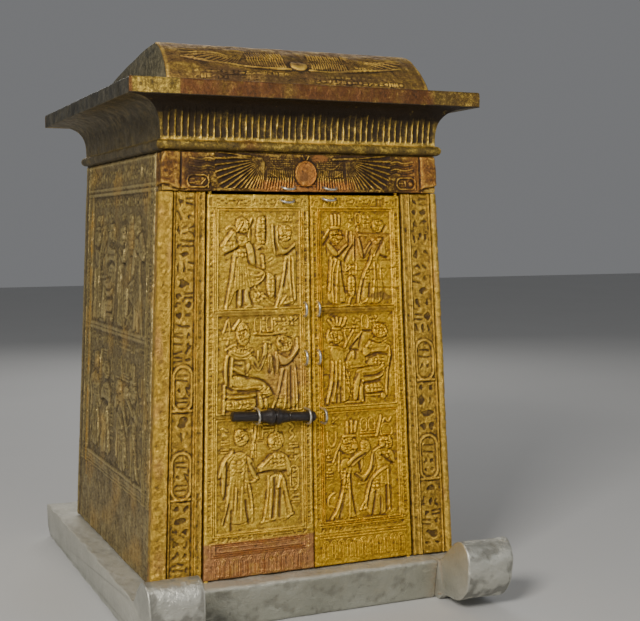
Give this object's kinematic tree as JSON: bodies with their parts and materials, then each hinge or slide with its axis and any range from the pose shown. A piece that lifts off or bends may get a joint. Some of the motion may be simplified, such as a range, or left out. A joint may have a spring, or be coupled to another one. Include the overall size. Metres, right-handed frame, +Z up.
{
  "type": "gilded wooden shrine",
  "caption": "Small gilded shrine with battered walls, a flaring cornice, a sloping roof and two hinged doors with a slide bolt, standing on a silver-covered sledge.",
  "frame": {"origin": "on the ground under the centre of the sledge's bounding box", "axes": "+Z up, doors face -Y, +X to the right of someone facing the doors"},
  "size_m": [0.338, 0.432, 0.5055],
  "materials": {
    "sheet_gold": "worn sheet gold over carved wood, dark in the recesses",
    "sheet_silver": "dented, tarnished sheet silver",
    "silver_wire": "dull silver wire, dark in the bends",
    "ebony": "polished black wood"
  },
  "bodies": {
    "shrine": {"runner_left": "sheet_silver", "runner_right": "sheet_silver", "sledge_front_beam": "sheet_silver", "sledge_back_beam": "sheet_silver", "sledge_deck": "sheet_silver", "jamb_left": "sheet_gold", "jamb_right": "sheet_gold", "lintel": "sheet_gold", "wall_left": "sheet_gold", "wall_right": "sheet_gold", "wall_back": "sheet_gold", "floor_board": "sheet_gold", "cornice": "sheet_gold", "roof": "sheet_gold", "staple_lintel_left": "silver_wire", "staple_lintel_right": "silver_wire"},
    "door_left": {"door_left": "sheet_gold", "staple_door_left_top": "silver_wire", "staple_door_left_upper": "silver_wire", "staple_door_left_lower": "silver_wire", "staple_bolt_left": "silver_wire", "staple_bolt_right": "silver_wire"},
    "door_right": {"door_right": "sheet_gold", "staple_door_right_top": "silver_wire", "staple_door_right_upper": "silver_wire", "staple_door_right_lower": "silver_wire", "staple_keeper": "silver_wire"},
    "bolt": {"bolt": "ebony"}
  },
  "joints": [
    {"name": "door_left_hinge", "type": "hinge", "parent": "shrine", "child": "door_left", "pos_m": [-0.0967, -0.139, 0.038], "axis": [-0.0287, -0.0243, -0.9993], "range_deg": [0, 100]},
    {"name": "door_right_hinge", "type": "hinge", "parent": "shrine", "child": "door_right", "pos_m": [0.1009, -0.139, 0.038], "axis": [-0.03, 0.0243, 0.9993], "range_deg": [0, 100]},
    {"name": "bolt_slide", "type": "slide", "parent": "door_left", "child": "bolt", "axis": [0.998, 0, -0.064], "range_m": [-0.0015, 0.019]}
  ]
}
